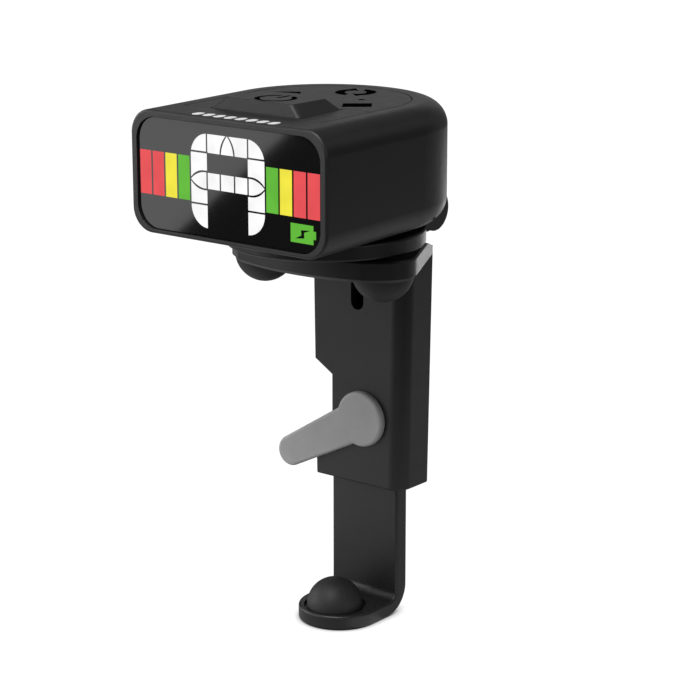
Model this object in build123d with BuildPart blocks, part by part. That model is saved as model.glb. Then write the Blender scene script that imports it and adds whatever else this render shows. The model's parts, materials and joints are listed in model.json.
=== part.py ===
from build123d import *
import os
from math import cos, radians, sin

# Clip-on tuner for a violin or viola: a display head on a tilt hinge and a turntable,
# carried by a small clamp whose lower jaw slides and is locked by a cam lever.
# Millimetres, +Z up, front towards -Y. The origin is under the middle of the bounding
# box, at the height of the lower jaw's sole.

# ---- driving dimensions -------------------------------------------------------------

# Head
head_width = 30.0
head_depth = 32.6
head_height = 14.85
head_edge_radius = 3.0
head_wall = 1.5
front_y = -head_depth / 2
round_y = 2.0                      # centre of the head's round rear, and of the turntable
rear_radius = head_depth / 2 - round_y
top_rise_deg = 0.86                # draft of the head's top, rising to the rear
bottom_rise_deg = 1.3              # draft of the head's underside

# Clamp
throat = 38.2                      # between the tips of the upper and lower pads
sole_thickness = 1.9
lower_pad_height = 3.6
upper_pad_height = 3.15
upper_pad_radius = 3.75
lower_pad_radius = 3.6
lower_pad_pocket = 0.4             # depth of the pocket that the lower pad sits in
lower_pad_gap = 0.4
plate_thickness = 2.6
arm_radius = 4.15
plate_bow_radius = 30.0
plate_bow_front = -5.0
plate_bow_half = 9.7
pad_x = 9.3
pad_y = 1.4
disc_radius = 12.3
disc_thickness = 2.0
sleeve_bottom = 17.0
sleeve_half_width = 7.3
sleeve_front = 8.5
sleeve_rear = 14.2
sleeve_wall = 1.1

# Jaw bar
bar_half_width = 5.3
bar_front = 9.7
bar_thickness = 2.2
bar_top = 36.3
foot_centre_y = 4.6
lower_pad_y = 3.6

# Lever and cam
lever_x = 0.65
lever_z = 25.8
lever_tip_x = -10.85
lever_tip_z = 19.4
lever_front = 7.65
lever_thickness = 0.8
lever_disc_radius = 3.6
lever_socket_floor = 0.3           # skin left in front of the square socket
washer_radius = 2.6
washer_recess = 0.3
shaft_radius = 1.5
cam_radius = 1.35
cam_offset = 0.3
cam_gap = 0.05

# Hinge at the lower rear of the head
hinge_y = 12.1
ear_radius = 2.7
ear_inner = 4.9
ear_outer = 9.2
hinge_pin_radius = 0.8

# Travel and fits
jaw_close = 7.0
jaw_open = 6.5
key_travel = 0.35
running = 0.05                     # radial clearance of a running fit
slip = 0.08                        # gap round a moving key
seam = 0.05                        # gap between two fixed covers

# Display
lens_half_width = 14.0
lens_half_height = 6.65
lens_radius = 2.8
lens_thickness = 1.2
lens_recess = 0.3
lens_gap = 0.1
window_depth = 0.5
bar_inner_x = 5.88
bar_pitch = 2.04
bar_width = 1.8
bar_half_height = 2.64
note_half_width = 5.65
note_top = 5.5
note_bottom = -5.65
stroke = 2.5
segment_gap = 0.22

# Power key, a raised truncated block
key_base_half = 6.8
key_top_half = 5.1
key_front_y = -11.1
key_base_depth = 8.0
key_front_slope = 0.75             # how far the front leans back over the key's rise
key_top_depth = 6.3
key_rise = 1.35
key_pad_inset = 4.25               # outline of the key pad, inside the head's outline
key_pad_front = -11.6
key_split_y = -2.7
key_thickness = 1.55
mark_recess = 0.25                 # depth of the pocket that holds a symbol
mark_thickness = 0.22
front_mark_recess = 0.12
tick_count = 8
tick_pitch = 1.65
tick_width = 1.15
tick_middle_x = 0.6

# ---- derived levels, from the sole upwards -----------------------------------------

pad_tip_low = sole_thickness + lower_pad_height
pad_tip_high = pad_tip_low + throat
plate_bottom = pad_tip_high + upper_pad_height
plate_top = plate_bottom + plate_thickness
thrust_thickness = 0.4
disc_bottom = plate_top + thrust_thickness
disc_top = disc_bottom + disc_thickness
head_bottom = disc_top + 0.45
head_top = head_bottom + head_height
display_z = head_bottom + 7.3
hinge_z = disc_top + 1.55
bar_rear = bar_front + bar_thickness
cavity_top = 65.6
board_bottom = 61.0
board_thickness = 0.8
boss_x = 9.9
boss_front_y = -9.0
boss_rear_y = 5.0
trough_front = 8.5
trough_half = 10.1
trough_top = 56.9
recess_radius = ear_radius + 0.25
recess_half = ear_outer + 0.3
port_half = 4.47
port_half_height = 1.63
port_z = board_bottom - port_half_height


def tilted(origin_z, angle):
    """Plane across the head that starts at its front edge and rises to the rear."""
    normal = (0, -sin(radians(angle)), cos(radians(angle)))
    return Plane(origin=(0, front_y, origin_z), x_dir=(1, 0, 0), z_dir=normal)


top_plane = tilted(head_top, top_rise_deg)
bottom_plane = tilted(head_bottom, bottom_rise_deg)


def head_plan(inset, start_y):
    """Outline of the head from above: straight sides, elliptical rear, moved in by inset."""
    half = head_width / 2 - inset
    with BuildLine() as outline:
        Polyline((-half, round_y), (-half, start_y), (half, start_y), (half, round_y))
        EllipticalCenterArc((0, round_y), half, rear_radius - inset, start_angle=0, arc_size=180)
    make_face(outline.edges())


def head_prism(inset, start_y, z_low, z_high, mode=Mode.ADD):
    """Upright prism on the head's plan."""
    with BuildSketch(Plane.XY.offset(z_low)) as plan:
        head_plan(inset, start_y)
    extrude(plan.sketch, amount=z_high - z_low, mode=mode)


def block(x_low, x_high, y_low, y_high, z_low, z_high, mode=Mode.ADD):
    """Rectangular block between two corners."""
    with Locations(((x_low + x_high) / 2, (y_low + y_high) / 2, (z_low + z_high) / 2)):
        Box(x_high - x_low, y_high - y_low, z_high - z_low, mode=mode)


def rod_x(radius, x_low, x_high, y, z, mode=Mode.ADD):
    """Cylinder along X."""
    with BuildSketch(Plane.YZ.offset(x_low)) as section:
        with Locations((y, z)):
            Circle(radius)
    extrude(section.sketch, amount=x_high - x_low, mode=mode)


def rod_y(radius, x, z, y_low, y_high, mode=Mode.ADD):
    """Cylinder along Y."""
    with BuildSketch(Plane.XZ.offset(-y_low)) as section:
        with Locations((x, z)):
            Circle(radius)
    extrude(section.sketch, amount=-(y_high - y_low), mode=mode)


def rod_z(radius, spots, z_low, z_high, mode=Mode.ADD):
    """Cylinders along Z at each spot."""
    with BuildSketch(Plane.XY.offset(z_low)) as section:
        with Locations(*spots):
            Circle(radius)
    extrude(section.sketch, amount=z_high - z_low, mode=mode)


def dome(base_radius, height, x, y, z, up):
    """Spherical cap with its flat base at height z, pointing up or down."""
    sphere = (base_radius**2 + height**2) / (2 * height)
    half_rise = sphere - (sphere**2 - (base_radius / 2) ** 2) ** 0.5
    side = 1 if up else -1
    with BuildSketch(Plane(origin=(x, y, z), x_dir=(1, 0, 0), z_dir=(0, -1, 0))) as section:
        with BuildLine() as outline:
            ThreePointArc(
                (0, side * height),
                (base_radius / 2, side * (height - half_rise)),
                (base_radius, 0),
            )
            Polyline((base_radius, 0), (0, 0), (0, side * height))
        make_face(outline.edges())
    revolve(section.sketch, axis=Axis(origin=(x, y, z), direction=(0, 0, 1)))


def save(part, name):
    """Label a finished piece and write it."""
    part.label = name
    export_step(part, f"parts/{name}.step")


os.makedirs("parts", exist_ok=True)
screw_spots = [(sx * boss_x, y) for sx in (-1, 1) for y in (boss_front_y, boss_rear_y)]

# ---- head: shell and covers ---------------------------------------------------------


def front_ticks():
    """Row of plain ticks along the front of the head's top."""
    for k in range(tick_count):
        with Locations((tick_middle_x + (k - (tick_count - 1) / 2) * tick_pitch, 1.2)):
            SlotOverall(1.7, tick_width, rotation=90)


with BuildPart() as head_housing:
    head_prism(0, front_y, head_bottom - 1, head_top + 1)
    split(bisect_by=top_plane, keep=Keep.BOTTOM)
    split(bisect_by=bottom_plane, keep=Keep.TOP)
    top_edges = head_housing.faces().sort_by(Axis.Z)[-1].edges()
    bottom_edges = head_housing.faces().sort_by(Axis.Z)[0].edges()
    behind_front = (front_y + 0.1, head_depth)
    fillet((top_edges + bottom_edges).filter_by_position(Axis.Y, *behind_front), head_edge_radius)
    fillet(head_housing.faces().sort_by(Axis.Y)[0].edges(), 0.3)
    head_prism(head_wall, front_y + head_wall, head_bottom + 1.5, cavity_top, Mode.SUBTRACT)
    head_prism(3.2, front_y + 3.2, head_bottom - 1, head_bottom + 2, Mode.SUBTRACT)
    block(-trough_half - seam, trough_half + seam, trough_front - seam, head_depth,
          head_bottom - 1, trough_top + seam, Mode.SUBTRACT)
    with BuildSketch(Plane.XZ.offset(-front_y)):
        with Locations((0, display_z)):
            RectangleRounded(2 * (lens_half_width + lens_gap), 2 * (lens_half_height + lens_gap),
                             lens_radius + lens_gap)
    extrude(amount=-(lens_recess + lens_thickness), mode=Mode.SUBTRACT)
    with BuildSketch(Plane.XZ.offset(-front_y)):
        with Locations((0, display_z)):
            Rectangle(2 * lens_half_width - 1.2, 2 * lens_half_height - 1.6)
    extrude(amount=-head_wall - 1, mode=Mode.SUBTRACT)
    head_prism(key_pad_inset, key_pad_front, cavity_top - 1, head_top + 2, Mode.SUBTRACT)
    for sx in (-1, 1):
        for y in (boss_front_y, boss_rear_y):
            rod_z(1.5, [(sx * boss_x, y)], head_bottom + 1.5, board_bottom)
            block(min(sx * boss_x, sx * 14), max(sx * boss_x, sx * 14), y - 0.6, y + 0.6,
                  head_bottom + 1.5, board_bottom)
    rod_z(0.7, screw_spots, head_bottom + 1, head_bottom + 6, Mode.SUBTRACT)
    with BuildSketch(Plane.XZ.offset(-round_y)):
        with Locations((0, port_z)):
            RectangleRounded(2 * port_half + 0.16, 2 * port_half_height + 0.16, 1.6)
    extrude(amount=-head_depth, mode=Mode.SUBTRACT)
    with BuildSketch(top_plane):
        front_ticks()
    extrude(amount=-front_mark_recess, mode=Mode.SUBTRACT)
save(head_housing.part, "head_housing")

with BuildPart() as front_marks:
    with BuildSketch(top_plane.offset(-front_mark_recess)):
        front_ticks()
    extrude(amount=front_mark_recess)
save(front_marks.part, "front_marks")

with BuildPart() as bottom_cover:
    head_prism(3.2 + seam, front_y + 3.2 + seam, head_bottom - 1, head_bottom + 1.5)
    with BuildSketch(Plane.XY.offset(head_bottom - 1)):
        head_plan(0.6, 0)
        with Locations((0, trough_front + head_depth / 2)):
            Rectangle(2 * trough_half, head_depth, mode=Mode.INTERSECT)
    extrude(amount=trough_top - head_bottom + 1)
    split(bisect_by=bottom_plane, keep=Keep.TOP)
    rod_x(recess_radius, -recess_half, recess_half, hinge_y, hinge_z, Mode.SUBTRACT)
    block(-recess_half, recess_half, hinge_y, head_depth, head_bottom - 1, hinge_z + recess_radius,
          Mode.SUBTRACT)
    rod_x(ear_radius - 0.2, -4.5, 4.5, hinge_y, hinge_z)
    block(-4.5, 4.5, trough_front - 1, hinge_y, hinge_z - 0.6, hinge_z + 1.2)
    rod_x(hinge_pin_radius + running, -5, 5, hinge_y, hinge_z, Mode.SUBTRACT)
    rod_z(0.9, screw_spots, head_bottom - 1, head_bottom + 3, Mode.SUBTRACT)
    rod_z(1.5, screw_spots, head_bottom - 1, head_bottom + 0.8, Mode.SUBTRACT)
save(bottom_cover.part, "bottom_cover")

with BuildPart() as cover_screws:
    rod_z(1.4, screw_spots, head_bottom + 0.35, head_bottom + 0.8)
    rod_z(0.7, screw_spots, head_bottom + 0.8, head_bottom + 5.5)
    for x, y in screw_spots:
        block(x - 0.7, x + 0.7, y - 0.15, y + 0.15, head_bottom, head_bottom + 0.55, Mode.SUBTRACT)
        block(x - 0.15, x + 0.15, y - 0.7, y + 0.7, head_bottom, head_bottom + 0.55, Mode.SUBTRACT)
save(cover_screws.part, "cover_screws")

# ---- head: display ------------------------------------------------------------------

lens_front = front_y + lens_recess
lens_back = lens_front + lens_thickness


def note_strokes():
    """Strokes of the note segment display, a capital A with rounded shoulders."""
    height = note_top - note_bottom
    with Locations((0, (note_top + note_bottom) / 2)):
        RectangleRounded(2 * note_half_width, height, 2.6)
    inner = 2 * (note_half_width - stroke)
    with Locations((0, (note_top - 2.2 + 0.95) / 2)):
        Rectangle(inner, note_top - 2.2 - 0.95, mode=Mode.SUBTRACT)
    with Locations((0, (-0.95 + note_bottom) / 2)):
        Rectangle(inner, -0.95 - note_bottom, mode=Mode.SUBTRACT)


def note_cuts():
    """Dark lines that divide the note display into its segments."""
    edge = note_half_width - stroke
    for x in (-edge, edge):
        with Locations((x, note_top)):
            Rectangle(segment_gap, 4.6)
        with Locations((x, 0)):
            Rectangle(segment_gap, 1.9)
    for x in (-1.1, 1.1):
        with Locations((x, 0)):
            Rectangle(segment_gap, 1.9)
    for x in (-note_half_width, note_half_width):
        for z in (3.3, -2.85):
            with Locations((x, z)):
                Rectangle(2 * stroke + 0.3, segment_gap)
        inward = -1 if x > 0 else 1
        for side in (-1, 1):
            root = (x + inward * 1.95, side * 0.95)
            outer_root = (root[0], root[1] + side * segment_gap)
            outer = (x, side * segment_gap)
            with BuildLine() as cut:
                ThreePointArc((x, 0), (x + inward * 0.85, side * 0.62), root)
                Polyline(root, (x + inward * stroke, root[1]),
                         (x + inward * stroke, outer_root[1]), outer_root)
                ThreePointArc(outer_root, (x + inward * 0.75, side * 0.85), outer)
                Line(outer, (x, 0))
            make_face(cut.edges())
    for side in (-1, 1):
        foot = (side * 0.95, note_top - 2.2)
        foot_outer = (foot[0] + side * segment_gap, foot[1])
        peak = (side * segment_gap, note_top)
        with BuildLine() as cut:
            ThreePointArc((0, note_top), (side * 0.62, note_top - 0.95), foot)
            Line(foot, foot_outer)
            ThreePointArc(foot_outer, (side * (0.62 + segment_gap), note_top - 0.85), peak)
            Line(peak, (0, note_top))
        make_face(cut.edges())


def bar_spots(first, last):
    """Centres of the pitch bars counted outwards from the note, on both sides."""
    spots = []
    for k in range(first, last + 1):
        x = bar_inner_x + bar_width / 2 + k * bar_pitch
        spots += [(-x, 0), (x, 0)]
    return spots


def battery_shape():
    """Battery symbol at the display's lower right corner."""
    with Locations((11.15, -4.45)):
        Rectangle(3.35, 2.2)
    with Locations((13.0, -4.45)):
        Rectangle(0.4, 0.95)


def bolt_shape(mode):
    """Charging bolt inside the battery symbol."""
    with BuildLine() as bolt:
        Polyline((12.4, -3.95), (11.0, -4.05), (11.05, -4.65), (10.1, -5.1), (11.5, -4.95),
                 (11.45, -4.3), (12.4, -3.95))
    make_face(bolt.edges(), mode=mode)


display_front = Plane.XZ.offset(-lens_front).shift_origin((0, lens_front, display_z))

with BuildPart() as note_display:
    with BuildSketch(display_front):
        note_strokes()
        with BuildSketch(mode=Mode.SUBTRACT):
            note_cuts()
    extrude(amount=-window_depth)
save(note_display.part, "note_display")

bar_groups = {"red_bars": (2, 3), "yellow_bars": (1, 1), "green_bars": (0, 0)}
bar_parts = []
for bar_name, (first, last) in bar_groups.items():
    with BuildPart() as pitch_bars:
        with BuildSketch(display_front):
            with Locations(*bar_spots(first, last)):
                Rectangle(bar_width, 2 * bar_half_height)
        extrude(amount=-window_depth)
    bar_parts.append(pitch_bars.part)
    save(pitch_bars.part, bar_name)

with BuildPart() as battery_symbol:
    with BuildSketch(display_front):
        battery_shape()
        bolt_shape(Mode.SUBTRACT)
    extrude(amount=-window_depth)
save(battery_symbol.part, "battery_symbol")

with BuildPart() as display_lens:
    with BuildSketch(display_front):
        RectangleRounded(2 * lens_half_width, 2 * lens_half_height, lens_radius)
    extrude(amount=-lens_thickness)
    for insert in [note_display.part, battery_symbol.part, *bar_parts]:
        add(insert, mode=Mode.SUBTRACT)
save(display_lens.part, "display_lens")

with BuildPart() as light_box:
    block(-13.2, 13.2, lens_back + 0.2, lens_back + 2.4, display_z - 5.6, display_z + 5.8)
    with BuildSketch(Plane.XZ.offset(-lens_back)):
        with Locations(*[(x, display_z) for x, _ in bar_spots(0, 2)]):
            Rectangle(1.5, 4.8)
        with Locations(*[(x, display_z + z) for x in (-4.4, 0, 4.4) for z in (4.2, 0)]):
            Rectangle(3.2, 1.8)
        with Locations(*[(x, display_z - 3.3) for x in (-4.4, 4.4)]):
            Rectangle(2.2, 3.4)
        with Locations((11.3, display_z - 4.3)):
            Rectangle(2.8, 1.6)
    extrude(amount=-4, mode=Mode.SUBTRACT)
save(light_box.part, "light_box")

display_board_front = lens_back + 2.4
with BuildPart() as display_board:
    block(-13.2, 13.2, display_board_front, display_board_front + 0.8, display_z - 5.6,
          display_z + 5.8)
save(display_board.part, "display_board")

with BuildPart() as display_leds:
    with BuildSketch(Plane.XZ.offset(-display_board_front)):
        with Locations(*[(x, display_z + z) for x, _ in bar_spots(0, 2) for z in (-1.2, 1.2)]):
            Rectangle(0.8, 1.2)
        with Locations(*[(x, display_z + z) for x in (-4.4, 0, 4.4) for z in (4.2, 0)]):
            Rectangle(1.2, 0.8)
        with Locations(*[(x, display_z - 3.3) for x in (-4.4, 4.4)]):
            Rectangle(0.8, 1.2)
        with Locations((11.3, display_z - 4.3)):
            Rectangle(1.2, 0.8)
    extrude(amount=0.6)
save(display_leds.part, "display_leds")

# ---- head: keys ---------------------------------------------------------------------

key_middle_y = key_front_y + key_base_depth / 2


def key_cap(inset, low_y, high_y, drop_top, drop_bottom):
    """Slice of the key pad, between two depths below the head's top."""
    head_prism(inset, low_y, head_top - 6, head_top + 3)
    block(-head_width, head_width, high_y, 2 * head_depth, head_top - 7, head_top + 4,
          Mode.SUBTRACT)
    split(bisect_by=top_plane.offset(-drop_top), keep=Keep.BOTTOM)
    split(bisect_by=top_plane.offset(-drop_bottom), keep=Keep.TOP)


def key_block(grow, z_low, z_high, mode):
    """Upright block on the power key's plan."""
    block(-key_base_half - grow, key_base_half + grow, key_front_y - grow,
          key_front_y + key_base_depth + grow, z_low, z_high, mode)


def flip_marks():
    """Symbols of the flip key: two turning arrows, a block, a dot and a wedge."""
    with Locations((-0.1, 24.3)):
        Circle(2.55)
        Circle(1.35, mode=Mode.SUBTRACT)
        with PolarLocations(1.95, 2, start_angle=-67):
            Rectangle(1.6, 1.2, mode=Mode.SUBTRACT)
        with PolarLocations(1.95, 2, start_angle=-40):
            Triangle(a=2.1, b=2.1, c=2.1)
    with Locations((6.2, 16.6)):
        Rectangle(3.5, 2.7, rotation=35)
    with Locations((4.05, 20.2)):
        Circle(0.45)
    with BuildLine() as wedge:
        Polyline((-8.9, 18.7), (-4.9, 19.5), (-5.9, 20.7), (-8.9, 18.7))
    make_face(wedge.edges())


def power_marks():
    """Symbol of the power key: an open ring with a stroke."""
    with Locations((0.3, key_middle_y - 0.5)):
        Circle(2.55)
        Circle(1.9, mode=Mode.SUBTRACT)
        with Locations((0, 2.3)):
            Rectangle(1.6, 1.4, mode=Mode.SUBTRACT)
        with Locations((0, 1.45)):
            Rectangle(0.5, 2.4)


with BuildPart() as key_frame:
    key_cap(key_pad_inset + seam, key_pad_front + seam, key_split_y, 0, key_thickness)
    key_block(slip, head_top - 4, head_top + 4, Mode.SUBTRACT)
    chamfer(key_frame.faces().sort_by(Axis.Z)[-1].outer_wire().edges(), 0.1)
save(key_frame.part, "key_frame")

with BuildPart() as flip_key:
    key_cap(key_pad_inset + slip, key_split_y + slip, head_depth, 0, key_thickness)
    chamfer(flip_key.faces().sort_by(Axis.Z)[-1].edges(), 0.1)
    flange_top = key_thickness + 0.5
    with BuildSketch(Plane.XY.offset(head_top - flange_top)):
        head_plan(key_pad_inset - 0.6, key_split_y + slip)
    extrude(amount=-0.5)
    with BuildSketch(Plane.XY.offset(head_top - flange_top)):
        head_plan(key_pad_inset + slip, key_split_y + slip)
    extrude(amount=1.0)
    rod_z(1.2, [(0, 5.5)], board_bottom + 3.5, head_top - flange_top)
    with BuildSketch(top_plane):
        flip_marks()
    extrude(amount=-mark_recess, mode=Mode.SUBTRACT)
save(flip_key.part, "flip_key")

with BuildPart() as flip_mark:
    with BuildSketch(top_plane.offset(-mark_recess)):
        flip_marks()
    extrude(amount=mark_thickness)
save(flip_mark.part, "flip_mark")

key_base_z = head_top + 0.1
with BuildPart() as power_key:
    with BuildSketch(Plane.XY.offset(key_base_z)):
        with Locations((0, key_middle_y)):
            RectangleRounded(2 * key_base_half, key_base_depth, 0.5)
    with BuildSketch(Plane.XY.offset(key_base_z + key_rise)):
        with Locations((0, key_front_y + key_front_slope + key_top_depth / 2)):
            RectangleRounded(2 * key_top_half, key_top_depth, 0.5)
    loft()
    fillet(power_key.faces().sort_by(Axis.Z)[-1].edges(), 0.15)
    with BuildSketch(Plane.XY.offset(key_base_z)):
        with Locations((0, key_middle_y)):
            RectangleRounded(2 * key_base_half, key_base_depth, 0.5)
    extrude(amount=-key_thickness - 0.5)
    block(-key_base_half - 0.6, key_base_half + 0.6, key_front_y - 0.3,
          key_front_y + key_base_depth, head_top - key_thickness - 0.85,
          head_top - key_thickness - 0.35)
    rod_z(1.2, [(0, key_middle_y)], board_bottom + 3.5, head_top - key_thickness - 0.4)
    with BuildSketch(Plane.XY.offset(key_base_z + key_rise)):
        power_marks()
    extrude(amount=-mark_recess, mode=Mode.SUBTRACT)
save(power_key.part, "power_key")

with BuildPart() as power_mark:
    with BuildSketch(Plane.XY.offset(key_base_z + key_rise - mark_recess)):
        power_marks()
    extrude(amount=mark_thickness)
save(power_mark.part, "power_mark")

# ---- head: electronics --------------------------------------------------------------

board_top = board_bottom + board_thickness
board_front = display_board_front + 1.0
with BuildPart() as main_board:
    head_prism(head_wall + 0.4, board_front, board_bottom, board_top)
    rod_z(1.0, screw_spots, board_bottom - 1, board_top + 1, Mode.SUBTRACT)
save(main_board.part, "main_board")

switch_spots = [(0, key_middle_y), (0, 5.5)]
with BuildPart() as key_switches:
    with BuildSketch(Plane.XY.offset(board_top)):
        with Locations(*switch_spots):
            RectangleRounded(4.0, 4.0, 0.4)
    extrude(amount=1.4)
    rod_z(0.9, switch_spots, board_top + 1.4, board_top + 1.9)
save(key_switches.part, "key_switches")

mat_bottom = board_top + 1.9
with BuildPart() as key_mat:
    for _, y in switch_spots:
        block(-3.5, 3.5, y - 3.0, y + 3.0, mat_bottom, mat_bottom + 0.3)
        for sx in (-1, 1):
            block(sx * 3.1 - 0.4, sx * 3.1 + 0.4, y - 3.0, y + 3.0, board_top, mat_bottom)
save(key_mat.part, "key_mat")

with BuildPart() as control_chip:
    block(5.0, 9.0, -4.0, 0.0, board_top, board_top + 0.9)
    for k in range(6):
        for sx in (-1, 1):
            x = 7.0 + sx * 2.2
            y = -3.5 + k * 0.6
            block(x - 0.25, x + 0.25, y - 0.12, y + 0.12, board_top, board_top + 0.2)
save(control_chip.part, "control_chip")

battery_bottom = head_bottom + 2.8
with BuildPart() as battery_cell:
    block(-7.9, 7.9, -9.6, 6.0, battery_bottom, battery_bottom + 4.6)
    fillet(battery_cell.edges().filter_by(Axis.Y), 1.2)
    block(-6.5, 6.5, 6.0, 7.0, battery_bottom + 1.7, battery_bottom + 2.9)
save(battery_cell.part, "battery_cell")

with BuildPart() as battery_pad:
    block(-6.8, 6.8, -8.6, 5.6, head_bottom + 1.5, battery_bottom)
    rod_z(6.2, [(0, -1.5)], head_bottom + 1, battery_bottom + 1, Mode.SUBTRACT)
save(battery_pad.part, "battery_pad")

with BuildPart() as piezo_sensor:
    rod_z(6.0, [(0, -1.5)], head_bottom + 1.5, head_bottom + 1.75)
    rod_z(4.2, [(0, -1.5)], head_bottom + 1.75, head_bottom + 1.95)
save(piezo_sensor.part, "piezo_sensor")

with BuildPart() as charging_port:
    with BuildSketch(Plane.XZ.offset(-8.4)):
        with Locations((0, port_z)):
            RectangleRounded(2 * port_half, 2 * port_half_height, 1.5)
    extrude(amount=-7.35)
    with BuildSketch(Plane.XZ.offset(-9.4)):
        with Locations((0, port_z)):
            RectangleRounded(2 * port_half - 0.6, 2 * port_half_height - 0.6, 1.2)
    extrude(amount=-7, mode=Mode.SUBTRACT)
    block(-3.3, 3.3, 9.3, 14.4, port_z - 0.35, port_z + 0.35)
save(charging_port.part, "charging_port")

with BuildPart() as board_flex:
    flex_front = display_board_front + 0.8
    block(-3.0, 3.0, flex_front, flex_front + 0.12, 58.0, board_bottom - 0.2)
    block(-3.0, 3.0, flex_front, flex_front + 3.0, board_bottom - 0.2, board_bottom)
save(board_flex.part, "board_flex")

# ---- tilt hinge and turntable -------------------------------------------------------

with BuildPart() as turntable:
    rod_z(disc_radius, [(0, round_y)], disc_bottom, disc_top)
    fillet(turntable.edges().filter_by(GeomType.CIRCLE), 0.3)
    for sx in (-1, 1):
        low = min(sx * ear_inner, sx * ear_outer)
        high = max(sx * ear_inner, sx * ear_outer)
        rod_x(ear_radius, low, high, hinge_y, hinge_z)
        block(low, high, hinge_y - ear_radius, hinge_y - 1.2, disc_bottom + 1.0, hinge_z)
    block(-head_width, head_width, 0, head_depth, disc_bottom - 3, disc_bottom, Mode.SUBTRACT)
    rod_x(hinge_pin_radius, -ear_outer + 0.5, ear_outer - 0.5, hinge_y, hinge_z, Mode.SUBTRACT)
    rod_x(recess_radius, -ear_inner, ear_inner, hinge_y, hinge_z, Mode.SUBTRACT)
    rod_z(1.5 + running, [(0, round_y)], disc_bottom - 1, disc_top + 1, Mode.SUBTRACT)
    rod_z(3.3, [(0, round_y)], disc_bottom + 0.9, disc_top + 1, Mode.SUBTRACT)
save(turntable.part, "turntable")

with BuildPart() as hinge_pin:
    rod_x(hinge_pin_radius, -ear_outer + 0.5, ear_outer - 0.5, hinge_y, hinge_z)
save(hinge_pin.part, "hinge_pin")

with BuildPart() as hinge_washers:
    for sx in (-1, 1):
        low = min(sx * 4.55, sx * 4.85)
        rod_x(2.1, low, low + 0.3, hinge_y, hinge_z)
    rod_x(hinge_pin_radius + running, -5, 5, hinge_y, hinge_z, Mode.SUBTRACT)
save(hinge_washers.part, "hinge_washers")

with BuildPart() as rest_bumpers:
    rod_z(1.5, [(-6.0, -4.5), (6.0, -4.5)], disc_top, disc_top + 0.5)
    fillet(rest_bumpers.faces().sort_by(Axis.Z)[-2:].edges(), 0.2)
save(rest_bumpers.part, "rest_bumpers")

with BuildPart() as swivel_screw:
    rod_z(3.0, [(0, round_y)], disc_top - 0.9, disc_top - 0.15)
    fillet(swivel_screw.edges().sort_by(Axis.Z)[-1], 0.3)
    rod_z(1.5, [(0, round_y)], plate_top + 0.1, disc_top - 0.9)
    rod_z(1.2, [(0, round_y)], plate_bottom + 0.2, plate_top + 0.1)
    block(-1.6, 1.6, round_y - 0.25, round_y + 0.25, disc_top - 0.5, disc_top, Mode.SUBTRACT)
    block(-0.25, 0.25, round_y - 1.6, round_y + 1.6, disc_top - 0.5, disc_top, Mode.SUBTRACT)
save(swivel_screw.part, "swivel_screw")

with BuildPart() as swivel_spring:
    rod_z(2.8, [(0, round_y)], disc_bottom + 0.93, disc_top - 0.92)
    rod_z(1.5 + running, [(0, round_y)], disc_bottom, disc_top, Mode.SUBTRACT)
save(swivel_spring.part, "swivel_spring")

with BuildPart() as thrust_washer:
    rod_z(7.0, [(0, round_y)], plate_top, disc_bottom - 0.02)
    rod_z(1.5 + running, [(0, round_y)], plate_top - 1, disc_bottom + 1, Mode.SUBTRACT)
save(thrust_washer.part, "thrust_washer")

with BuildPart() as swivel_insert:
    rod_z(2.1, [(0, round_y)], plate_bottom, plate_top)
    rod_z(1.2, [(0, round_y)], plate_bottom - 1, plate_top + 1, Mode.SUBTRACT)
save(swivel_insert.part, "swivel_insert")

# ---- clamp --------------------------------------------------------------------------

slot_half = bar_half_width + 0.1
cover_half = 6.35
channel_top = 44.2
cam_slot_half = cam_radius + cam_offset + cam_gap
cover_screw_spots = [(-4.0, 45.1), (4.0, 45.1)]


def sleeve_plan(left, right):
    """Plan of the sleeve: crisp corners, but a rounded one at the front right."""
    with BuildLine() as outline:
        Polyline((right, sleeve_front + 2.0), (right, sleeve_rear), (-left, sleeve_rear),
                 (-left, sleeve_front), (right - 2.0, sleeve_front))
        RadiusArc((right - 2.0, sleeve_front), (right, sleeve_front + 2.0), -2.0)
    make_face(outline.edges())


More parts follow.
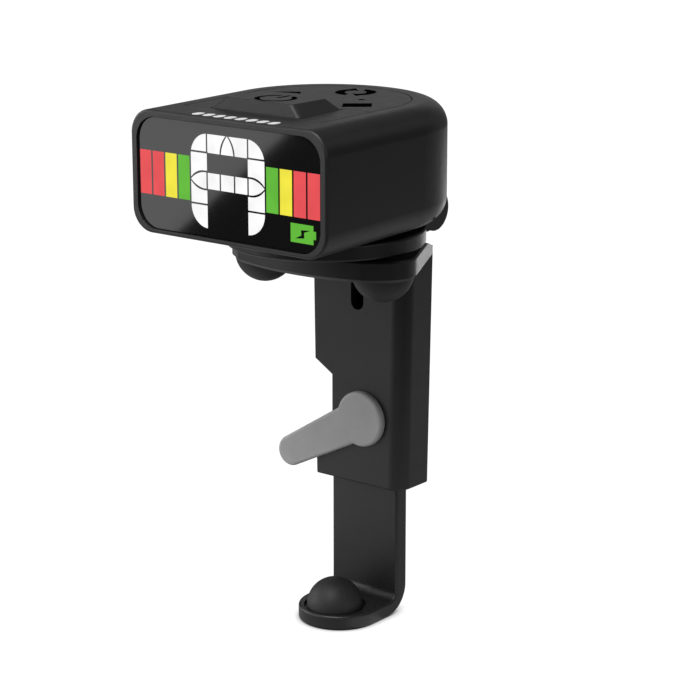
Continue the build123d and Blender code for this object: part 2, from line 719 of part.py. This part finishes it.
with BuildPart() as clamp_body:
    with BuildSketch(Plane.XY.offset(plate_bottom)):
        with Locations((0, plate_bow_front + plate_bow_radius)):
            Circle(plate_bow_radius)
        with Locations((0, plate_bow_front)):
            Rectangle(2 * plate_bow_half, 6.0, mode=Mode.INTERSECT)
        with Locations((-pad_x, pad_y), (pad_x, pad_y)):
            Circle(arm_radius)
        with Locations((0, sleeve_rear - 1.0)):
            Rectangle(2 * sleeve_half_width, 2.0)
        make_hull()
    extrude(amount=plate_thickness)
    chamfer(clamp_body.faces().sort_by(Axis.Z)[0].edges(), 0.4)
    chamfer(clamp_body.faces().sort_by(Axis.Z)[-1].edges(), 0.2)
    with BuildSketch(Plane.YZ.offset(-head_width)):
        with BuildLine():
            Polyline((10.4, plate_top), (sleeve_rear + 1, plate_top - 1.5),
                     (sleeve_rear + 1, plate_top + 1), (10.4, plate_top + 1), (10.4, plate_top))
        make_face()
    extrude(amount=2 * head_width, mode=Mode.SUBTRACT)
    with BuildSketch(Plane.XY.offset(plate_bottom + 0.5)):
        sleeve_plan(sleeve_half_width, sleeve_half_width)
    with BuildSketch(Plane.XY.offset(sleeve_bottom)):
        sleeve_plan(sleeve_half_width - 0.45, sleeve_half_width - 0.55)
    loft()
    fillet(clamp_body.faces().sort_by(Axis.Z)[0].edges(), 0.25)
    block(-slot_half, slot_half, bar_front - 0.1, bar_rear + 0.1, 0, channel_top, Mode.SUBTRACT)
    block(-cover_half - seam, cover_half + seam, bar_rear + 0.1, head_depth, 0, plate_bottom,
          Mode.SUBTRACT)
    with BuildSketch(Plane.XZ.offset(-sleeve_front + 1)):
        with BuildLine():
            Polyline((-9, 33.7), (-4.3, 30.8), (-4.3, 20.6), (-5.2, 19.8), (-9, 19.4), (-9, 33.7))
        make_face()
    extrude(amount=-(bar_rear + 0.1 - sleeve_front + 1), mode=Mode.SUBTRACT)
    with BuildSketch(Plane.XZ.offset(-sleeve_front + 1)):
        with Locations((-0.25, 42.1)):
            SlotOverall(4.4, 2.0, rotation=90)
    extrude(amount=-(1 + sleeve_wall + 0.2), mode=Mode.SUBTRACT)
    rod_y(shaft_radius + running, lever_x, lever_z, sleeve_front - 1, bar_front + 0.5,
          Mode.SUBTRACT)
    rod_y(washer_radius + 0.1, lever_x, lever_z, sleeve_front - 1, sleeve_front + washer_recess,
          Mode.SUBTRACT)
    rod_z(2.1, [(0, round_y)], plate_bottom - 1, plate_top + 1, Mode.SUBTRACT)
    rod_z(1.0, [(-pad_x, pad_y), (pad_x, pad_y)], plate_bottom - 1, plate_bottom + 1.6,
          Mode.SUBTRACT)
    for x, z in cover_screw_spots:
        rod_y(0.6, x, z, 9.6, bar_rear + 1, Mode.SUBTRACT)
save(clamp_body.part, "clamp_body")

with BuildPart() as sleeve_cover:
    block(-cover_half, cover_half, bar_rear + 0.1, sleeve_rear, sleeve_bottom + 0.3,
          plate_bottom - seam)
    fillet(sleeve_cover.faces().sort_by(Axis.Y)[-1].edges(), 0.5)
    rod_y(1.0 + running, lever_x, lever_z, bar_rear, bar_rear + 1.45, Mode.SUBTRACT)
    for x, z in cover_screw_spots:
        rod_y(0.75, x, z, bar_rear, sleeve_rear + 1, Mode.SUBTRACT)
        rod_y(1.3, x, z, sleeve_rear - 0.7, sleeve_rear + 1, Mode.SUBTRACT)
save(sleeve_cover.part, "sleeve_cover")

with BuildPart() as sleeve_screws:
    for x, z in cover_screw_spots:
        rod_y(1.2, x, z, sleeve_rear - 0.7, sleeve_rear - 0.1)
        rod_y(0.6, x, z, 9.8, sleeve_rear - 0.7)
        block(x - 0.7, x + 0.7, sleeve_rear - 0.4, sleeve_rear, z - 0.13, z + 0.13, Mode.SUBTRACT)
        block(x - 0.13, x + 0.13, sleeve_rear - 0.4, sleeve_rear, z - 0.7, z + 0.7, Mode.SUBTRACT)
save(sleeve_screws.part, "sleeve_screws")

for name, x in (("upper_pad_left", -pad_x), ("upper_pad_right", pad_x)):
    with BuildPart() as upper_pad:
        dome(upper_pad_radius, upper_pad_height, x, pad_y, plate_bottom, False)
        rod_z(1.0, [(x, pad_y)], plate_bottom, plate_bottom + 1.6)
    save(upper_pad.part, name)

# ---- sliding jaw --------------------------------------------------------------------

pad_seat = sole_thickness - lower_pad_pocket
with BuildPart() as jaw_bar:
    with BuildSketch(Plane.YZ.offset(-bar_half_width)):
        with BuildLine():
            Polyline((foot_centre_y - bar_half_width, 0), (bar_rear, 0), (bar_rear, bar_top),
                     (bar_front, bar_top), (bar_front, sole_thickness),
                     (foot_centre_y - bar_half_width, sole_thickness),
                     (foot_centre_y - bar_half_width, 0))
        make_face()
    extrude(amount=2 * bar_half_width)
    along_x = jaw_bar.edges().filter_by(Axis.X)
    fillet(along_x.group_by(Axis.Z)[0].sort_by(Axis.Y)[-1], 3.7)
    inner_edge = jaw_bar.edges().filter_by(Axis.X).filter_by_position(
        Axis.Y, bar_front - 0.1, bar_front + 0.1).sort_by(Axis.Z)[0]
    fillet(inner_edge, 1.0)
    with BuildSketch(Plane.XY.offset(-1)):
        with Locations((0, foot_centre_y)):
            Circle(bar_half_width)
        with Locations((0, foot_centre_y + 10)):
            Rectangle(2 * bar_half_width, 20)
    extrude(amount=bar_top + 2, mode=Mode.INTERSECT)
    chamfer(jaw_bar.faces().sort_by(Axis.Z)[0].edges(), 0.25)
    toe_edge = jaw_bar.edges().filter_by(GeomType.CIRCLE).filter_by_position(
        Axis.Z, sole_thickness - 0.01, sole_thickness + 0.01)
    fillet(toe_edge, 0.35)
    with BuildSketch(Plane.XZ.offset(-bar_front + 1)):
        slot_low = lever_z - cam_slot_half - jaw_close - 0.15
        slot_high = lever_z + cam_slot_half + jaw_open + 0.15
        with Locations((lever_x, (slot_low + slot_high) / 2)):
            RectangleRounded(2 * cam_slot_half, slot_high - slot_low, 0.5)
    extrude(amount=-(bar_thickness + 2), mode=Mode.SUBTRACT)
    rod_z(1.0, [(0, lower_pad_y)], 0.5, sole_thickness + 1, Mode.SUBTRACT)
    rod_z(lower_pad_radius + lower_pad_gap, [(0, lower_pad_y)], pad_seat,
          sole_thickness + 0.5, Mode.SUBTRACT)
save(jaw_bar.part, "jaw_bar")

with BuildPart() as lower_pad:
    dome(lower_pad_radius, lower_pad_height, 0, lower_pad_y, sole_thickness, True)
    rod_z(lower_pad_radius, [(0, lower_pad_y)], pad_seat, sole_thickness)
    rod_z(1.0, [(0, lower_pad_y)], 0.5, pad_seat)
save(lower_pad.part, "lower_pad")

# ---- lever and cam ------------------------------------------------------------------

lever_back = lever_front + lever_thickness
with BuildPart() as lever:
    with BuildSketch(Plane.XZ.offset(-lever_front)):
        with Locations((lever_x, lever_z)):
            Circle(2.65)
        with Locations((lever_tip_x, lever_tip_z)):
            Circle(2.0)
        make_hull()
        with Locations((lever_x, lever_z)):
            Circle(lever_disc_radius)
    extrude(amount=-lever_thickness)
    fillet(lever.faces().sort_by(Axis.Y)[0].edges(), 0.4)
    block(lever_x - 1.0, lever_x + 1.0, lever_front + lever_socket_floor, lever_back + 1,
          lever_z - 1.0, lever_z + 1.0, Mode.SUBTRACT)
save(lever.part, "lever")

cam_front = bar_front
with BuildPart() as cam_shaft:
    block(lever_x - 1.0, lever_x + 1.0, lever_front + lever_socket_floor, lever_back,
          lever_z - 1.0, lever_z + 1.0)
    rod_y(shaft_radius, lever_x, lever_z, lever_back, cam_front)
    rod_y(cam_radius, lever_x - cam_offset, lever_z, cam_front, bar_rear)
    rod_y(1.0, lever_x, lever_z, bar_rear, bar_rear + 1.4)
save(cam_shaft.part, "cam_shaft")

with BuildPart() as lever_washer:
    rod_y(washer_radius, lever_x, lever_z, lever_back, sleeve_front + washer_recess - 0.02)
    rod_y(shaft_radius + running, lever_x, lever_z, lever_back - 1, sleeve_front + 1,
          Mode.SUBTRACT)
save(lever_washer.part, "lever_washer")
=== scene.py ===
import json
import math

import bpy
from mathutils import Euler, Matrix, Vector

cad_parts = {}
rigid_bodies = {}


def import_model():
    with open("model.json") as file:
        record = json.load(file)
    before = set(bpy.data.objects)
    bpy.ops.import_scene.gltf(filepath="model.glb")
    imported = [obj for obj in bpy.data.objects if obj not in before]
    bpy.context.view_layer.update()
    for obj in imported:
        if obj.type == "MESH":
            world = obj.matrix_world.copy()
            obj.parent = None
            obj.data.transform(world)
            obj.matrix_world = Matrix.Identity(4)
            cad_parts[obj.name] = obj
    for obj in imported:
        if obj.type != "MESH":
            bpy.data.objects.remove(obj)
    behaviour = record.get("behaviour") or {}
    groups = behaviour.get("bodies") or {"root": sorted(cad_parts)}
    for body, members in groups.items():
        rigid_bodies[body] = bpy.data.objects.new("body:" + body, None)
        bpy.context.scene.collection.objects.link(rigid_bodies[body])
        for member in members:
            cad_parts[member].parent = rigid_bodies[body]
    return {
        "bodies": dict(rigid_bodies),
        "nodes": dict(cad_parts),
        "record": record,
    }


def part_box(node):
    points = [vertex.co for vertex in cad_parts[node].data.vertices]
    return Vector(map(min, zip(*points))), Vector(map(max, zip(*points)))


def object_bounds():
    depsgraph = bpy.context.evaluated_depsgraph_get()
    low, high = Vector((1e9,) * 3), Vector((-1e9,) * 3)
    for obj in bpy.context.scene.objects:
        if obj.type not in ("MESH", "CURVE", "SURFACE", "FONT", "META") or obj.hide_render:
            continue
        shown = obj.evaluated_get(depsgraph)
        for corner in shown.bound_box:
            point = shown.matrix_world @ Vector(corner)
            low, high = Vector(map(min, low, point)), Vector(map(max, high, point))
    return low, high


# Clip-on tuner: camera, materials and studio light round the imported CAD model.
# Metres and degrees, in the CAD's frame: +Z up, front towards -Y.

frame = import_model()
cad_low, cad_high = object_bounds()
scene = bpy.context.scene
scene.view_settings.view_transform = "Standard"
MM = 0.001

# ---- camera -------------------------------------------------------------------------

CAMERA_AZIMUTH = 38.476
CAMERA_ELEVATION = 14.786
CAMERA_SPOT = (0.168916, -0.205794, 0.10671)
CAMERA_LENS_MM = 114.6

camera = bpy.data.objects.new("camera", bpy.data.cameras.new("camera"))
scene.collection.objects.link(camera)
camera.data.lens = CAMERA_LENS_MM
camera.data.sensor_width = 36.0
camera.data.clip_start = 0.01
camera.data.clip_end = 20.0
camera.location = CAMERA_SPOT
camera.rotation_euler = Euler(
    (math.radians(90 - CAMERA_ELEVATION), 0, math.radians(CAMERA_AZIMUTH))
)
scene.camera = camera


# ---- material nodes -----------------------------------------------------------------


def new_material(name):
    """Empty node material with its Principled shader."""
    mat = bpy.data.materials.new(name)
    mat.use_nodes = True
    tree = mat.node_tree
    return mat, tree, tree.nodes["Principled BSDF"]


def object_noise(tree, scale, detail=3.0):
    """Noise in object space; scale is in features per metre."""
    coords = tree.nodes.new("ShaderNodeTexCoord")
    noise = tree.nodes.new("ShaderNodeTexNoise")
    noise.inputs["Scale"].default_value = scale
    noise.inputs["Detail"].default_value = detail
    noise.inputs["Roughness"].default_value = 0.55
    tree.links.new(coords.outputs["Object"], noise.inputs["Vector"])
    return noise.outputs["Fac"]


def map_range(tree, value, low, high, from_low=0.3, from_high=0.7):
    """Remap a value; noise seldom leaves 0.3 to 0.7."""
    node = tree.nodes.new("ShaderNodeMapRange")
    node.inputs["From Min"].default_value = from_low
    node.inputs["From Max"].default_value = from_high
    node.inputs["To Min"].default_value = low
    node.inputs["To Max"].default_value = high
    tree.links.new(value, node.inputs["Value"])
    return node.outputs["Result"]


def mix_colors(tree, factor, first, second):
    """Colour mixed between two constants."""
    node = tree.nodes.new("ShaderNodeMix")
    node.data_type = "RGBA"
    node.inputs[6].default_value = (*first, 1)
    node.inputs[7].default_value = (*second, 1)
    tree.links.new(factor, node.inputs[0])
    return node.outputs[2]


def add_bump(tree, shader, height, distance):
    """Bump from a height value; distance in metres."""
    bump = tree.nodes.new("ShaderNodeBump")
    bump.inputs["Distance"].default_value = distance
    bump.inputs["Strength"].default_value = 1.0
    tree.links.new(height, bump.inputs["Height"])
    tree.links.new(bump.outputs["Normal"], shader.inputs["Normal"])


# ---- material kinds -----------------------------------------------------------------

# Noise scales, in features per metre
MOTTLE_SCALE = 260.0
GLOSS_SCALE = 900.0
GRAIN_SCALE = 4500.0
RUBBER_GRAIN_SCALE = 2600.0
SCRATCH_SCALE = 1500.0
GLOW_CLOUD_SCALE = 420.0
LENS_HAZE_SCALE = 500.0

MOTTLE = 0.07                      # how far moulded plastic's tone strays, as a share
GLOSS_SPREAD = 0.025
GRAIN_DEPTH = 0.008 * MM
RUBBER_GRAIN_DEPTH = 0.02 * MM
SCRATCH_DEPTH = 0.006 * MM


def moulded(name, color, rough, grain=GRAIN_SCALE, depth=GRAIN_DEPTH, specular=0.5):
    """Moulded plastic: fine spark-eroded grain, faint mottling and uneven gloss."""
    mat, tree, shader = new_material(name)
    tone = map_range(tree, object_noise(tree, MOTTLE_SCALE, 4.0), 0.0, 1.0)
    darker = tuple(c * (1 - MOTTLE) for c in color)
    lighter = tuple(min(1.0, c * (1 + MOTTLE)) for c in color)
    tree.links.new(mix_colors(tree, tone, darker, lighter), shader.inputs["Base Color"])
    gloss = object_noise(tree, GLOSS_SCALE)
    tree.links.new(
        map_range(tree, gloss, rough - GLOSS_SPREAD, rough + GLOSS_SPREAD),
        shader.inputs["Roughness"],
    )
    shader.inputs["Specular IOR Level"].default_value = specular
    add_bump(tree, shader, object_noise(tree, grain, 2.0), depth)
    return mat


def rubbery(name, color, rough):
    """Soft rubber with a coarser grain than the plastic."""
    return moulded(name, color, rough, RUBBER_GRAIN_SCALE, RUBBER_GRAIN_DEPTH)


def lit_segment(name, color, glow=0.93, edge=0.9):
    """Display segment lit from behind: the light falls off unevenly over its area."""
    mat, tree, shader = new_material(name)
    cloud = map_range(tree, object_noise(tree, GLOW_CLOUD_SCALE, 1.0), 0.0, 1.0)
    dim = tuple(c * edge for c in color)
    tree.links.new(mix_colors(tree, cloud, dim, color), shader.inputs["Emission Color"])
    shader.inputs["Emission Strength"].default_value = glow
    shader.inputs["Base Color"].default_value = (*(c * 0.05 for c in color), 1)
    shader.inputs["Roughness"].default_value = 0.3
    shader.inputs["Specular IOR Level"].default_value = 0.1
    return mat


def metal(name, color, rough):
    """Turned or pressed metal with fine scratches."""
    mat, tree, shader = new_material(name)
    shader.inputs["Metallic"].default_value = 1.0
    streak = object_noise(tree, SCRATCH_SCALE, 4.0)
    tone = map_range(tree, streak, 0.0, 1.0)
    darker = tuple(c * 0.85 for c in color)
    tree.links.new(mix_colors(tree, tone, darker, color), shader.inputs["Base Color"])
    tree.links.new(
        map_range(tree, streak, rough - 0.06, rough + 0.08), shader.inputs["Roughness"]
    )
    add_bump(tree, shader, streak, SCRATCH_DEPTH)
    return mat


def glossy_window(name, color, rough):
    """Polished black window with a trace of haze."""
    mat, tree, shader = new_material(name)
    haze = object_noise(tree, LENS_HAZE_SCALE, 2.0)
    shader.inputs["Base Color"].default_value = (*color, 1)
    tree.links.new(
        map_range(tree, haze, rough - 0.005, rough + 0.005), shader.inputs["Roughness"]
    )
    return mat


# ---- material of each slot ----------------------------------------------------------

BY_SLOT = {
    # Covers and moving parts that show
    "black_plastic": moulded("shell_black", (0.014, 0.014, 0.015), 0.42),
    "key_plastic": moulded("key_black", (0.016, 0.016, 0.017), 0.44),
    "clamp_plastic": moulded("clamp_black", (0.011, 0.011, 0.012), 0.40),
    "lever_plastic": moulded("lever_grey", (0.36, 0.36, 0.36), 0.5),
    "black_rubber": rubbery("rubber_black", (0.013, 0.013, 0.013), 0.58),
    # Black icon ink, near-black and without sheen: print, and also painted shade in the
    # engraved icons
    "mark_black": moulded("mark_black", (0.001, 0.001, 0.001), 0.7, specular=0.0),
    "mark_white": moulded("mark_white", (0.85, 0.85, 0.85), 0.4),
    # Display
    "lens_black": glossy_window("lens_gloss", (0.008, 0.008, 0.008), 0.055),
    "segment_white": lit_segment("segment_white", (1.0, 1.0, 1.0), 0.97, 0.88),
    "segment_red": lit_segment("segment_red", (0.86, 0.09, 0.10)),
    "segment_yellow": lit_segment("segment_yellow", (0.95, 0.85, 0.06)),
    "segment_green": lit_segment("segment_green", (0.13, 0.52, 0.045)),
    # Inside and fittings
    "white_plastic": moulded("reflector_white", (0.8, 0.8, 0.79), 0.55),
    "nylon": moulded("nylon_natural", (0.42, 0.42, 0.40), 0.45),
    "grey_silicone": rubbery("silicone_grey", (0.28, 0.28, 0.29), 0.6),
    "board": moulded("board_green", (0.015, 0.12, 0.05), 0.35),
    "chip": moulded("chip_black", (0.02, 0.02, 0.02), 0.5),
    "led_body": moulded("led_resin", (0.75, 0.72, 0.5), 0.25),
    "flex": moulded("flex_film", (0.4, 0.2, 0.03), 0.3),
    "dark_steel": metal("steel_dark", (0.12, 0.12, 0.125), 0.38),
    "switch_metal": metal("steel_bright", (0.62, 0.62, 0.63), 0.3),
    "brass": metal("brass", (0.78, 0.6, 0.28), 0.28),
    "cell_foil": metal("cell_foil", (0.6, 0.61, 0.62), 0.35),
}

for entry in frame["record"]["subparts"]:
    node = frame["nodes"][entry["node"]]
    node.data.materials.clear()
    node.data.materials.append(BY_SLOT[entry["material_slot"]])


# ---- floor and backdrop -------------------------------------------------------------

FLOOR_HALF = 6.0
FLOOR_GLOW = 1.05                  # just over white, so that the open floor has no tone
FLOOR_GLOW_UNDER_FOOT = 0.1
CONTACT_SHADOW_REACH = 0.004
OPEN_SKY = (0.25, 0.75)            # shares of open sky between which the shadow fades


def floor():
    """White floor under the jaw's sole that darkens only where the foot is close to it.

    The sole stands on it at every opening of the jaw, so the floor follows the jaw.
    """
    mesh = bpy.data.meshes.new("floor")
    corners = [(-1, -1), (1, -1), (1, 1), (-1, 1)]
    mesh.from_pydata(
        [(FLOOR_HALF * x, FLOOR_HALF * y, cad_low.z) for x, y in corners],
        [],
        [(0, 1, 2, 3)],
    )
    obj = bpy.data.objects.new("floor", mesh)
    scene.collection.objects.link(obj)
    mat, tree, shader = new_material("floor_white")
    near = tree.nodes.new("ShaderNodeAmbientOcclusion")
    near.inputs["Distance"].default_value = CONTACT_SHADOW_REACH
    near.samples = 8
    glow = map_range(
        tree, near.outputs["AO"], FLOOR_GLOW_UNDER_FOOT, FLOOR_GLOW, *OPEN_SKY
    )
    tree.links.new(glow, shader.inputs["Emission Strength"])
    shader.inputs["Emission Color"].default_value = (1, 1, 1, 1)
    shader.inputs["Base Color"].default_value = (0, 0, 0, 1)
    shader.inputs["Specular IOR Level"].default_value = 0.0
    mesh.materials.append(mat)
    obj.visible_glossy = False
    obj.visible_diffuse = False
    obj.parent = frame["bodies"]["jaw"]


def backdrop():
    """White to the camera and black to everything else, so only the lights light."""
    world = bpy.data.worlds.new("studio")
    scene.world = world
    world.use_nodes = True
    tree = world.node_tree
    tree.nodes.clear()
    out = tree.nodes.new("ShaderNodeOutputWorld")
    seen = tree.nodes.new("ShaderNodeBackground")
    seen.inputs["Color"].default_value = (1, 1, 1, 1)
    cast = tree.nodes.new("ShaderNodeBackground")
    cast.inputs["Color"].default_value = (0, 0, 0, 1)
    rays = tree.nodes.new("ShaderNodeLightPath")
    mix = tree.nodes.new("ShaderNodeMixShader")
    tree.links.new(rays.outputs["Is Camera Ray"], mix.inputs[0])
    tree.links.new(cast.outputs[0], mix.inputs[1])
    tree.links.new(seen.outputs[0], mix.inputs[2])
    tree.links.new(mix.outputs[0], out.inputs["Surface"])


# ---- lights -------------------------------------------------------------------------

BOX_DISTANCE = 0.6
BOX_SIDE = 0.34
BOX_AIM_HEIGHT = 0.05
TABLE_GLOW_HEIGHT = 0.0002

# Soft boxes and lit patches are whole stops below the main light. A stop halves the
# brightness.
MAIN_BRIGHTNESS = 6.5

# Name: azimuth, 0 in front and positive to the right, elevation, stops.
SOFT_BOXES = {
    "main": (10, 64, 0),
    "low_left": (-70, 12, 1),
    "low_front_left": (-30, 12, 2),
    "high_front_left": (-30, 64, 2),
    "front": (10, 38, 2),
    "low_right": (90, 12, 3),
    "low_front_right": (50, 12, 4),
    "left": (-110, 38, 4),
    "low_back_left": (-150, 12, 4),
    "back_right": (130, 38, 4),
    "high_back": (170, 64, 4),
    "low_back": (170, 12, 5),
}

# Name: centre and size of a patch of lit table, stops.
TABLE_GLOW = {
    "table_behind": ((-0.045, 0.24), (0.09, 0.14), 2),
    "table_back_left": ((-0.17, 0.22), (0.3, 0.3), 3),
    "table_front": ((0.0, -0.053), (0.16, 0.12), 4),
    "table_left": ((-0.12, 0.0), (0.2, 0.12), 4),
    "table_right": ((0.055, 0.05), (0.1, 0.1), 4),
    "table_back": ((0.08, 0.24), (0.2, 0.3), 4),
}

CARD_DISTANCE = 0.2
CARD_SIZE = (0.045, 0.1)
CARD_EDGE = -0.0005                # its edge, from the middle of what the window mirrors
CARD_EDGE_TILT = 48.7
CARD_BRIGHTNESS = 1.85


def panel(name, spot, facing, size, brightness):
    """Rectangular soft light, facing along its matrix's -Z; brightness is its radiance."""
    data = bpy.data.lights.new(name, "AREA")
    data.shape = "RECTANGLE"
    data.size, data.size_y = size
    data.energy = math.pi * size[0] * size[1] * brightness
    obj = bpy.data.objects.new(name, data)
    scene.collection.objects.link(obj)
    obj.location = spot
    obj.rotation_euler = facing.to_euler()
    obj.visible_camera = False


def looking_along(direction):
    """Matrix that points a light's -Z along a direction."""
    return Vector(direction).to_track_quat("-Z", "Y").to_matrix()


def stops_below_main(stops):
    """Brightness a number of stops below the main light's."""
    return MAIN_BRIGHTNESS / 2**stops


def soft_box(name, azimuth, elevation, stops):
    """Large soft light on a sphere round the object."""
    turn, rise = math.radians(azimuth), math.radians(elevation)
    way = Vector(
        (math.sin(turn) * math.cos(rise), -math.cos(turn) * math.cos(rise), math.sin(rise))
    )
    spot = Vector((0, 0, BOX_AIM_HEIGHT)) + BOX_DISTANCE * way
    side = (BOX_SIDE, BOX_SIDE)
    panel(name, spot, looking_along(-way), side, stops_below_main(stops))


def table_glow(name, middle, size, stops):
    """Patch of white table that throws light up at the object."""
    spot = (*middle, TABLE_GLOW_HEIGHT)
    panel(name, spot, looking_along((0, 0, 1)), size, stops_below_main(stops))


def display_card():
    """Narrow card that the glossy window mirrors as a pale field with a slanting edge."""
    window_low, window_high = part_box("display_lens")
    window = (Vector(window_low) + Vector(window_high)) / 2
    window.y = window_low[1]
    to_window = (window - camera.location).normalized()
    away = Vector((to_window.x, -to_window.y, to_window.z))
    side = away.cross(Vector((0, 0, 1))).normalized()
    up = side.cross(away)
    tilt = math.radians(CARD_EDGE_TILT)
    inward = side * math.cos(tilt) + up * math.sin(tilt)
    spot = window + CARD_DISTANCE * away + inward * (CARD_SIZE[0] / 2 + CARD_EDGE)
    facing = Matrix((inward, away.cross(inward), away)).transposed()
    panel("display_card", spot, facing, CARD_SIZE, CARD_BRIGHTNESS)


floor()
backdrop()
display_card()
for box_name, (azimuth, elevation, stops) in SOFT_BOXES.items():
    soft_box(box_name, azimuth, elevation, stops)
for patch_name, (middle, size, stops) in TABLE_GLOW.items():
    table_glow(patch_name, middle, size, stops)
